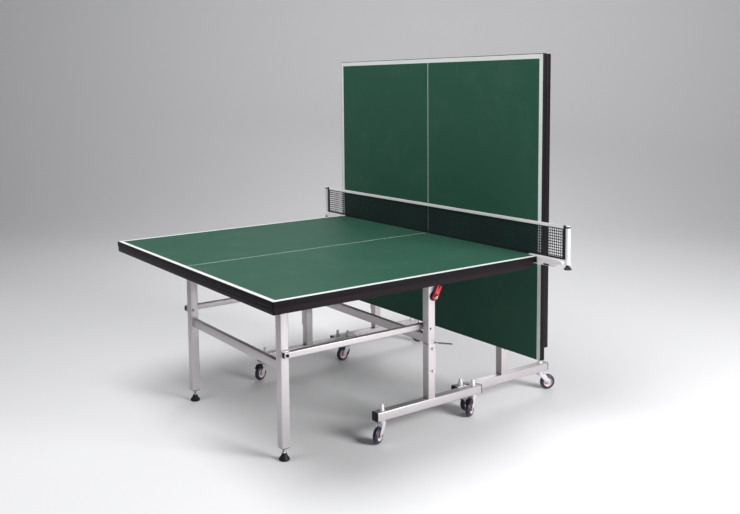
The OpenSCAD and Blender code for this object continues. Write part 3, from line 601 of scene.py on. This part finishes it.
plastic = surface("black_plastic", (0.010, 0.009, 0.011), 0.48, grain=500.0, specular=0.3)[0]
leg_foot, leg_long, plug_reach, plug_foot, plug_head = 0.056, 0.664, 0.0175, 0.0525, 0.060
pin_r, hinge_pin_reach, strut_pin_reach = 0.005, 0.026, 0.055
spacer_r, spacer_start, spacer_end = 0.009, 0.0205, 0.0268
washer_r, washer_seat, nut_seat, head_seat, hinge_seat = 0.0095, 0.0523, 0.0538, 0.020, 0.0242
hinge_nut, strut_nut = (0.0082, 0.006), (0.0078, 0.006)
for half in halves:
    shape = Shape(half_place(half, "legs"))
    for side, s in sides:
        y = s * leg_y - frame_shift
        at_pin = (strut_pin_x, y, strut_pin_z)
        shape.add(**bar(tube, tube, leg_long, tube_round, 0.001), at=(0, y, leg_foot))
        shape.add(**block((-plug_reach, y - plug_reach, plug_foot), (plug_reach, y + plug_reach, plug_head), 0.003),
                  slot=2)
        shape.add(**rod(pin_r, -hinge_pin_reach, hinge_pin_reach), at=(0, y, hinge_z), slot=1)
        for way in (-1, 1):
            add_nut(shape, *hinge_nut, way, (0, y + way * hinge_seat, hinge_z), 1)
        shape.add(**rod(spacer_r, s * spacer_start, s * spacer_end, 32), at=at_pin, slot=1)
        shape.add(**rod(pin_r, 0, s * strut_pin_reach), at=at_pin, slot=1)
        shape.add(**rod(washer_r, s * washer_seat, s * nut_seat, 32), at=at_pin)
        add_nut(shape, *strut_nut, s, (strut_pin_x, y + s * nut_seat, strut_pin_z), 2)
        add_nut(shape, *strut_nut, -s, (strut_pin_x, y - s * head_seat, strut_pin_z), 1)
    finish_piece(build(half + "_leg_tubes", shape, [frame_paint, zinc, plastic]),
                 half + "_legs", "frame_paint", half + "_legs")


# Leg crossbars: flat 20 by 40 mm steel tubes in the frame's paint, one welded between the two legs of each half.
# A rounded weld bead shows at each end.
bar_thick, leg_bar_long, leg_bar_z, leg_bar_start = 0.020, 0.794, 0.393, -0.418
bead_high, bead_thick, bead_long = 0.0425, 0.0225, 0.003


def add_crossbar(shape, length, z, start, beads):
    """Adds a flat tube along Y from start and a rounded weld bead at each place in beads."""
    shape.add(**bar(tube, bar_thick, length, 0.003, 0.0008, "y"), at=(0, start, z))
    for y in beads:
        shape.add(**bar(bead_high, bead_thick, bead_long, 0.004, 0.0014, "y"), at=(0, y, z))


for half in halves:
    shape = Shape(half_place(half, "legs"))
    add_crossbar(shape, leg_bar_long, leg_bar_z, leg_bar_start, (-0.417, 0.374))
    finish_piece(build(half + "_leg_crossbar_tube", shape, [frame_paint]),
                 half + "_legs", "frame_paint", half + "_leg_crossbar")


# Feet: black plastic bells with a narrow collar, each moulded on a threaded steel stem that screws up into the
# plug in the leg. A thin nut locks the height that has been set.
bell = [(0.0215, 0.0), (0.0228, 0.0012), (0.0230, 0.0030), (0.0228, 0.0068), (0.0205, 0.0105), (0.0165, 0.0150),
        (0.0132, 0.0200), (0.0112, 0.0245), (0.0106, 0.0290), (0.0098, 0.0300)]
lock_nut = [(0.0085, 0.0305), (0.0090, 0.0312), (0.0090, 0.0352), (0.0085, 0.0358)]
# The stem's thread is a fine saw-tooth in its radius.
turns, root_r, thread_deep = 57, 0.0046, 0.0004
stem = list(zip(root_r + thread_deep * ((np.arange(turns) % 2) == 0), np.linspace(0.030, 0.058, turns)))
for half in halves:
    for side, s in sides:
        shape, at_foot = Shape(half_place(half, "legs")), (0, s * leg_y - frame_shift, 0)
        shape.add(**turned(bell, 64), at=at_foot)
        shape.add(**turned(stem, 24), at=at_foot, slot=1)
        shape.add(**turned(lock_nut, 6), at=at_foot, slot=1)
        name = half + "_foot_" + side
        finish_piece(build(name + "_bell", shape, [plastic, zinc], 25), name, "black_plastic", name)


# Struts: 25 mm square steel tubes in the frame's paint, one per side between leg and upright. A black plastic block
# stands in the upright's end. At the other end, whose mouth is left open, a black block set just inside is painted
# shade.
strut_tube, strut_long, strut_y, strut_start = 0.025, 0.729, 0.4565, -0.730
for half in halves:
    shape = Shape(half_place(half, "struts"))
    for side, s in sides:
        y = s * strut_y - frame_shift
        shape.add(**bar(strut_tube, strut_tube, strut_long, 0.0026, 0.0005, "x", wall=0.002),
                  at=(strut_start, y, strut_pin_z))
        # The first block is the plug at the upright's end. The second, just inside the open mouth by the leg, is
        # painted shade: a black stand-in for the dark inside of the tube.
        for low, high, reach, r in ((-0.0012, 0.001, 0.0123, 0.003), (-0.7265, -0.705, 0.0104, 0.001)):
            end_plug_and_shade_block = block((low, y - reach, strut_pin_z - reach), (high, y + reach, strut_pin_z + reach), r, axis="x")
            shape.add(**end_plug_and_shade_block, slot=1)
    finish_piece(build(half + "_strut_tubes", shape, [frame_paint, plastic]),
                 half + "_struts", "frame_paint", half + "_struts")


# Uprights: 40 mm square steel tubes in the frame's paint. They stand on the short tubes welded to the rails and
# carry the top's hinge pins at their heads. A plastic bush shows where the strut's pin goes through.
upright_foot, upright_long, bush_r, bush_start, bush_end = 0.312, 0.408, 0.0048, 0.0199, 0.0203
for half in halves:
    shape = Shape(half_place(half, "trolley"))
    for side, s in sides:
        y = s * upright_y - frame_shift
        shape.add(**bar(tube, tube, upright_long, tube_round, 0.001), at=(0, y, upright_foot))
        shape.add(**rod(bush_r, s * bush_start, s * bush_end, 32), at=(strut_pin_x, y, strut_pin_z), slot=1)
    finish_piece(build(half + "_upright_tubes", shape, [frame_paint, plastic]),
                 half + "_trolley", "frame_paint", half + "_uprights")


# Sleeves: channels of 3 mm sheet folded round the outside of each upright, over the joint between its lower and
# upper tube, and held by two bolts each.


def bent(points, r, n=6):
    """Rounds the corners of a path of straight lengths with curves that start a distance r from each corner:
    the weights (1-t)^2, 2t(1-t) and t^2 blend the start, the corner and the end."""
    p = np.asarray(points, float)
    t = np.linspace(0, 1, n)[:, None]
    out = [p[:1]]
    for a, b, c in zip(p[:-2], p[1:-1], p[2:]):
        s = b + (a - b) / np.linalg.norm(a - b) * min(r, np.linalg.norm(a - b) / 2.01)
        e = b + (c - b) / np.linalg.norm(c - b) * min(r, np.linalg.norm(c - b) / 2.01)
        out.append((1 - t) ** 2 * s + 2 * t * (1 - t) * b + t ** 2 * e)
    out.append(p[-1:])
    return np.concatenate(out)


sleeve_foot, sleeve_head, lip = 0.242, 0.382, 0.014
outer, inner = [bent([(w, lip, 0), (w, -w, 0), (-w, -w, 0), (-w, lip, 0)], r)[:, :2]
                for w, r in ((0.023, 0.0055), (0.0201, 0.0030))]
for half in halves:
    shape = Shape(half_place(half, "trolley"))
    for side, s in sides:
        ring = np.concatenate([outer, inner[::-1]]) * [1, -s]
        grid = np.stack([along(ring, z, "z") for z in (sleeve_foot, sleeve_head)])
        shape.add(grid, caps=(0, -1), at=(0, s * upright_y - frame_shift, 0))
    finish_piece(build(half + "_sleeve_channels", shape, [frame_paint]),
                 half + "_trolley", "frame_paint", half + "_sleeves")


# Release levers: 5 mm spring wire bent to a hairpin handle outside each upright, running through its walls to a
# small crank inside. The near pair reaches out towards the net and the far pair hangs down.
wire_material = surface("spring_wire", (0.16, 0.155, 0.165), 0.35, metallic=0.9, grain=900.0, spread=0.25)[0]
lever_x, lever_z, crank_lead, wire_r, wire_bend = 0.015, 0.388, 18, 0.0024, 0.0055
crank = np.array([(0.013, 0.045, 0), (0.013, 0.025, 0)])
shaft = np.array([(0, 0.025, 0), (0, -0.0263, 0)])
hairpin = np.array([(0.092, -0.0263, 0), (0.092, -0.0383, 0), (0.008, -0.0383, 0)])
for half, droop in (("near", 13), ("far", 90)):
    shape = Shape(half_place(half, "trolley"))
    with_handle, with_crank = [np.array(Matrix.Rotation(math.radians(angle), 3, "Y")).T
                               for angle in (droop, droop + crank_lead)]
    path = bent(np.concatenate([crank @ with_crank, shaft, hairpin @ with_handle]), wire_bend, 8)
    for side, s in sides:
        on_upright = path * [1, -s, 1] + [lever_x, s * upright_y - frame_shift, lever_z]
        shape.add(**wire(on_upright, wire_r, 14))
    finish_piece(build(half + "_release_wires", shape, [wire_material], 60),
                 half + "_release", "wire", half + "_release_levers")


# Latch levers: red plastic levers with two prongs on the outer face of each upright's head. Each turns on a
# bolt in front of a black disc and locks the top's fold.


def spin(surface, axis, degrees):
    """The same surface turned about an axis through the origin."""
    return dict(surface, grid=surface["grid"] @ np.array(Matrix.Rotation(math.radians(degrees), 3, axis)).T)


red = surface("red_plastic", (0.62, 0.016, 0.03), 0.32, grain=400.0, depth=0.05, relief=0.08, coat=0.35)[0]
latch_x, latch_z, latch_face, latch_thick = 0.008, 0.597, 0.0253, 0.0129
prongs = [hull([(0, 0, 0.0138)])] + [
    hull([(0.010, 0.008 * way, 0.0045), (0.050, 0.008 * way, 0.0044), (0, 0.004 * way, 0.008)]) for way in (1, -1)]
for half, lean in (("near", 28), ("far", -12)):
    for side, s in sides:
        shape = Shape(half_place(half, "trolley"))
        for prong in prongs:
            lever = spin(plate(prong, 0.0, latch_thick, 0.0014, "y"), "Y", lean)
            shape.add(**dict(lever, grid=lever["grid"] * [1, s, 1]),
                      at=(latch_x, s * (upright_y + latch_face) - frame_shift, latch_z))
        name = half + "_latch_" + side
        finish_piece(build(name + "_lever", shape, [red]), name, "red_plastic", name)


# Bolts: the uprights' hinge pins, the struts' pins, the latch bolts with their discs, two bolts per sleeve, and
# tall white cap nuts on the rails over the swivels.
white_nut = surface("cap_white", (0.78, 0.76, 0.80), 0.35, coat=0.2)[0]
swivel_x, sleeve_bolts = 0.265, (0.262, 0.362)
latch_nut, sleeve_nut, latch_bolt_r = (0.0088, 0.0098), (0.0080, 0.0085), 0.0049
# Profiles along Y, turned over for the other side: a rivet's head and the latch's disc.
rivet = np.array([(0.0082, -0.0241), (0.0082, -0.0252), (0.0066, -0.0260)])
disc = np.array([(0.0185, 0.0200), (0.020, 0.0212), (0.020, 0.0238), (0.0185, 0.0250)])
nut_washer = [(0.0116, 0.134), (0.0116, 0.1356)]
nut = [(0.0096, 0.1356), (0.010, 0.1362), (0.010, 0.1462), (0.0094, 0.1472)]
nut_dome = [(0.0084, 0.1465), (0.0085, 0.1540)] + arc(0, 0.1555, 0.0085, 5, 86, 9)
for half in halves:
    shape = Shape(half_place(half, "trolley"))
    for side, s in sides:
        y = s * upright_y - frame_shift
        shape.add(**rod(pin_r, -hinge_pin_reach, hinge_pin_reach), at=(0, y, hinge_z))
        add_nut(shape, *hinge_nut, s, (0, y + s * hinge_seat, hinge_z))
        shape.add(**turned(rivet * [1, s], 32, "y"), at=(0, y, hinge_z))
        shape.add(**rod(pin_r, 0, -s * strut_pin_reach), at=(strut_pin_x, y, strut_pin_z))
        add_nut(shape, *strut_nut, -s, (strut_pin_x, y - s * 0.0524, strut_pin_z))
        shape.add(**turned(disc * [1, s], 48, "y"), at=(latch_x, y, latch_z), slot=1)
        shape.add(**rod(latch_bolt_r, s * 0.025, s * 0.042), at=(latch_x, y, latch_z))
        add_nut(shape, *latch_nut, s, (latch_x, y + s * 0.0386, latch_z))
        for z in sleeve_bolts:
            shape.add(**rod(washer_r, s * 0.0230, s * 0.0242, 32), at=(0, y, z))
            add_nut(shape, *sleeve_nut, s, (0, y + s * 0.0236, z))
        for x in (-swivel_x, swivel_x):
            for profile, n in ((nut_washer, 32), (nut, 6), (nut_dome, 40)):
                shape.add(**turned(profile, n), at=(x, y, 0), slot=2)
    finish_piece(build(half + "_bolt_set", shape, [zinc, plastic, white_nut]),
                 half + "_trolley", "zinc", half + "_bolts")


# Side frames: a 40 mm square rail, 600 mm long, with the lower tube of the upright welded on its middle by a
# bead all round. The stems of the swivels go up through the rail near its ends.
rail_half, rail_foot, rail_top, lower_tube_long, weld_wide = 0.300, 0.094, 0.134, 0.178, 0.0428
for half in halves:
    shape = Shape(half_place(half, "trolley"))
    for side, s in sides:
        y = s * upright_y - frame_shift
        shape.add(**bar(tube, tube, 2 * rail_half, tube_round, 0.001, "x"), at=(-rail_half, y, rail_foot + tube / 2))
        shape.add(**bar(tube, tube, lower_tube_long, tube_round, 0.0008), at=(0, y, rail_top))
        shape.add(**bar(weld_wide, tube, 0.0032, 0.005, 0.0015), at=(0, y, rail_top - 0.0004))
    finish_piece(build(half + "_rail_frames", shape, [frame_paint]),
                 half + "_trolley", "frame_paint", half + "_side_frames")


# Trolley crossbars: flat 20 by 40 mm steel tubes in the frame's paint, one welded between the two uprights of
# each half, just below the struts' pins.
trolley_bar_long, trolley_bar_z, trolley_bar_start = 0.952, 0.402, -0.497
for half in halves:
    shape = Shape(half_place(half, "trolley"))
    add_crossbar(shape, trolley_bar_long, trolley_bar_z, trolley_bar_start, (-0.4972, 0.4522))
    finish_piece(build(half + "_trolley_crossbar_tube", shape, [frame_paint]),
                 half + "_trolley", "frame_paint", half + "_trolley_crossbar")


# End caps: black plastic plugs pressed into the four rail ends of each half. A rounded flange covers the tube's
# edge and a narrower plug fills its end.
for half in halves:
    shape = Shape(half_place(half, "trolley"))
    for side, s in sides:
        y = s * upright_y - frame_shift
        for end in (-1, 1):
            for start, stop, inward, r, edge in ((0.3001, 0.305, 0.0, 0.0046, 0.0016),
                                                 (0.2840, 0.3001, 0.0022, 0.003, 0.0005)):
                a, b = sorted((end * start, end * stop))
                reach = tube / 2 - inward
                shape.add(**block((a, y - reach, rail_foot + inward), (b, y + reach, rail_top - inward), r, edge, "x"))
    finish_piece(build(half + "_rail_plugs", shape, [plastic]),
                 half + "_trolley", "black_plastic", half + "_end_caps")


# Forks: pressed and plated steel. A round bearing cup under the rail turns on the swivel stem and carries a crown
# plate and two cheeks that taper down to the axle.
corners = (("right", -1, "outer", -1), ("right", -1, "inner", 1), ("left", 1, "outer", -1), ("left", 1, "inner", 1))
headings = {"near": (206, 206, 197, 184), "far": (150, 180, 155, 180)}
braked = (("near", "right", "inner"), ("near", "left", "outer"))
trail, axle_z = 0.040, 0.0375
pedal_x, pedal_z = 0.032, 0.0805


def caster_place(half, s, e, heading):
    """Carries points from a caster's own frame, with the swivel axis at its origin and x towards the wheel."""
    place = half_place(half, "trolley")
    turn = np.array(Matrix.Rotation(math.radians(heading), 3, "Z"))
    at_rail_end = [e * swivel_x, s * upright_y - frame_shift, 0]
    return lambda p: place(p @ turn.T + at_rail_end)


fork_plate = surface("fork_plate", (0.70, 0.67, 0.71), 0.34, metallic=0.35, grain=600.0, depth=0.1, spread=0.2,
                     wear=0.15, worn=(0.4, 0.38, 0.4))[0]
cup = [(0.0135, 0.0795), (0.0158, 0.0800), (0.0160, 0.0815), (0.0160, 0.0878), (0.0150, 0.0890), (0.0150, 0.0930),
       (0.0142, 0.0936)]
swivel_stem, bridge = [(0.006, 0.079), (0.006, 0.133)], ((-0.006, -0.0158, 0.0765), (0.0238, 0.0158, 0.0790))
cheek_inner, cheek_outer, axle_nut, axle_r, axle_reach = 0.0136, 0.0160, (0.0066, 0.0028), 0.004, 0.0175
crown = hull([(0.0, 0.0, 0.0155), (0.0212, -0.0132, 0.0028), (0.0212, 0.0132, 0.0028)])
cheek = hull([(axle_z, trail, 0.009), (0.0760, -0.0035, 0.0025), (0.0760, 0.0252, 0.0025)])
pedal_ear = hull([(pedal_z, pedal_x, 0.0058), (0.070, 0.028, 0.006)])
for half in halves:
    for (side, s, end, e), heading in zip(corners, headings[half]):
        shape, name = Shape(caster_place(half, s, e, heading)), half + "_fork_" + side + "_" + end
        shape.add(**turned(cup, 56))
        shape.add(**turned(swivel_stem, 28))
        shape.add(**plate(crown, 0.0766, 0.0792, 0.0008))
        shape.add(**block(*bridge, 0.003))
        for way in (-1, 1):
            a, b = sorted((way * cheek_inner, way * cheek_outer))
            shape.add(**plate(cheek, a, b, 0.0007, "y"))
            if (half, side, end) in braked:
                shape.add(**plate(pedal_ear, a, b, 0.0007, "y"))
            add_nut(shape, *axle_nut, way, (trail, way * cheek_outer, axle_z), 1)
        shape.add(**rod(axle_r, -axle_reach, axle_reach), at=(trail, 0, axle_z), slot=1)
        if (half, side, end) in braked:
            shape.add(**rod(0.0015, -0.0148, 0.0148, 16), at=(pedal_x, 0, pedal_z), slot=1)
        finish_piece(build(name + "_steel", shape, [fork_plate, zinc]),
                     half + "_caster_" + side + "_" + end, "zinc", name)


# Wheels: 75 mm wheels with a rounded black rubber tyre, a pale plastic hub and a brown ring about the axle's bush.
# A dark blue sheen is painted into the tyre's colour, stronger where its face turns away from the view.
tyre, tree, principled, shade = surface("tyre_rubber", (0.013, 0.014, 0.030), 0.42, grain=900.0, depth=0.2,
                                        spread=0.2, coat=0.15)
# Painted sheen: the tyre's colour is blended towards dark blue by how far its face turns from the view, not lit by a
# lamp.
sheen = maths(tree, "MULTIPLY", put(tree, "LayerWeight", {"Blend": 0.35}).outputs["Facing"], 0.5)
tree.links.new(blend(tree, sheen, shade, (0.03, 0.05, 0.16, 1.0)), principled.inputs["Base Color"])
hub_plastic = surface("hub_plastic", (0.72, 0.60, 0.60), 0.42, depth=0.08, grain=500.0)[0]
hub_brown = surface("hub_brown", (0.20, 0.075, 0.055), 0.45, depth=0.1)[0]
rubber = [(0.0225, -0.0108), (0.0240, -0.0116)] + arc(0.0262, 0.0, 0.0113, -78, 78, 21) + [
    (0.0240, 0.0116), (0.0225, 0.0108)]
hub = [(0.0226, -0.0106), (0.0210, -0.0098), (0.0205, -0.0060), (0.0180, -0.0046), (0.0120, -0.0046),
       (0.0108, -0.0060)]
ring = [(0.0108, -0.0060), (0.0106, -0.0108), (0.0100, -0.0118), (0.0062, -0.0119), (0.0042, -0.0119)]
bush = [(0.0041, -0.0119), (0.0041, 0.0119)]
hub_back, ring_back = [[(r, -y) for r, y in profile] for profile in (hub, ring)]
for half in halves:
    for (side, s, end, e), heading in zip(corners, headings[half]):
        shape, name = Shape(caster_place(half, s, e, heading)), half + "_wheel_" + side + "_" + end
        for slot, profile, n in ((0, rubber, 64), (1, hub, 64), (1, hub_back, 64), (2, ring, 64),
                                 (2, ring_back, 64), (2, bush, 32)):
            shape.add(**turned(profile, n, "y", capped=False), at=(trail, 0, axle_z), slot=slot)
        finish_piece(build(name + "_tyre", shape, [tyre, hub_plastic, hub_brown], 50), name, "tyre", name)


# Brakes: black plastic pedals with a ribbed step, one on two of the near half's forks. Each turns on a steel pin
# between the fork's cheeks, and bears on the tyre when it is pressed down.
sleeve = [(0.0030, -0.0110), (0.0034, -0.0105), (0.0034, 0.0105), (0.0030, 0.0110)]
step_x, step_z, step_lean, rib_gap, pedal_half, rib_half = 0.056, 0.0835, 58, 0.005, 0.0110, 0.0100
for half, side, end in braked:
    s, e = dict(sides)[side], 1 if end == "inner" else -1
    heading = headings[half][[c[0] + c[2] for c in corners].index(side + end)]
    shape, name = Shape(caster_place(half, s, e, heading)), half + "_brake_" + side + "_" + end
    shape.add(**turned(sleeve, 28, "y"), at=(pedal_x, 0, pedal_z))
    shape.add(**block((0.0330, -pedal_half, 0.0795), (0.0570, pedal_half, step_z), 0.0018, 0.0008, "x"))
    step = block((0.0, -pedal_half, 0.0), (0.0240, pedal_half, 0.0040), 0.0018, 0.0008, "x")
    ribs = [block((0.0040 + rib_gap * k, -rib_half, 0.0040), (0.0060 + rib_gap * k, rib_half, 0.0047),
                  0.0004, 0.0002, "x") for k in range(4)]
    for part in [step] + ribs:
        shape.add(**spin(part, "Y", step_lean), at=(step_x, 0, step_z))
    finish_piece(build(name + "_pedal", shape, [plastic]), name, "black_plastic", name)


# ---------------------------------------------------------------- studio

# Floor and backdrop: one pale matt sweep, level under the table and curved up behind it.
floor_material = surface("studio_white", (0.86, 0.86, 0.87), 0.65, depth=0.0, spread=0.0, relief=0.0)[0]
floor_front, floor_back, backdrop_high, floor_side, sweep_turn = -9, 7, 9, 9.0, 50
sweep = bent([(floor_front, 0, 0), (floor_back, 0, 0), (floor_back, 0, backdrop_high)], 2.5, 24)
sweep = np.stack([sweep + [0, y, 0] for y in (-floor_side, floor_side)], 1)
sweep = sweep @ np.array(Matrix.Rotation(math.radians(sweep_turn), 3, "Z")).T
floor = build("studio_floor", Shape().add(sweep, wrap=(False, False)), [floor_material], 80)


# Lights: a broad soft panel from the camera's right, a large one high over the table, a dim one behind it and
# dim surroundings, so that the faces that look left stay darker than those that look right.
panels = (("key_panel", (1.6, -4.4, 2.2), 250, 2.4), ("top_panel", (-1.6, 0.0, 4.6), 150, 2.8),
          ("back_panel", (3.6, 3.4, 3.6), 60, 3.0))
aim = Vector((0.1, 0.0, 0.6))
for name, place, energy, width in panels:
    light = bpy.data.lights.new(name, "AREA")
    light.energy, light.size, light.shape = energy, width, "DISK"
    lamp = bpy.data.objects.new(name, light)
    lamp.location = place
    lamp.rotation_euler = (aim - Vector(place)).to_track_quat("-Z", "Y").to_euler()
    bpy.context.scene.collection.objects.link(lamp)
world = bpy.data.worlds.new("studio")
world.use_nodes = True
world.node_tree.nodes["Background"].inputs["Color"].default_value = (0.96, 0.97, 1.0, 1.0)
world.node_tree.nodes["Background"].inputs["Strength"].default_value = 0.16
bpy.context.scene.world = world


# Camera: eye height, looking along the table's corner, with a slight roll and a shifted frame.
turn, lift, roll = -2.15468, 0.09833, 0.01475
back = np.array([math.cos(lift) * math.cos(turn), math.cos(lift) * math.sin(turn), math.sin(lift)])
across = np.cross(-back, [0, 0, 1])
across /= np.linalg.norm(across)
down = np.cross(-back, across)
right = math.cos(roll) * across + math.sin(roll) * down
up = math.sin(roll) * across - math.cos(roll) * down
camera = bpy.data.cameras.new("studio_camera")
camera.sensor_width, camera.lens, camera.shift_x, camera.shift_y = 36.0, 42.610, 0.07235, -0.12002
eye, eye_place = bpy.data.objects.new("studio_camera", camera), (-2.43561, -3.40473, 1.54053)
eye.matrix_world = Matrix(np.column_stack([right, up, back, eye_place]).tolist() + [(0, 0, 0, 1)])
bpy.context.scene.collection.objects.link(eye)
bpy.context.scene.camera = eye
bpy.context.scene.view_settings.view_transform = "Standard"
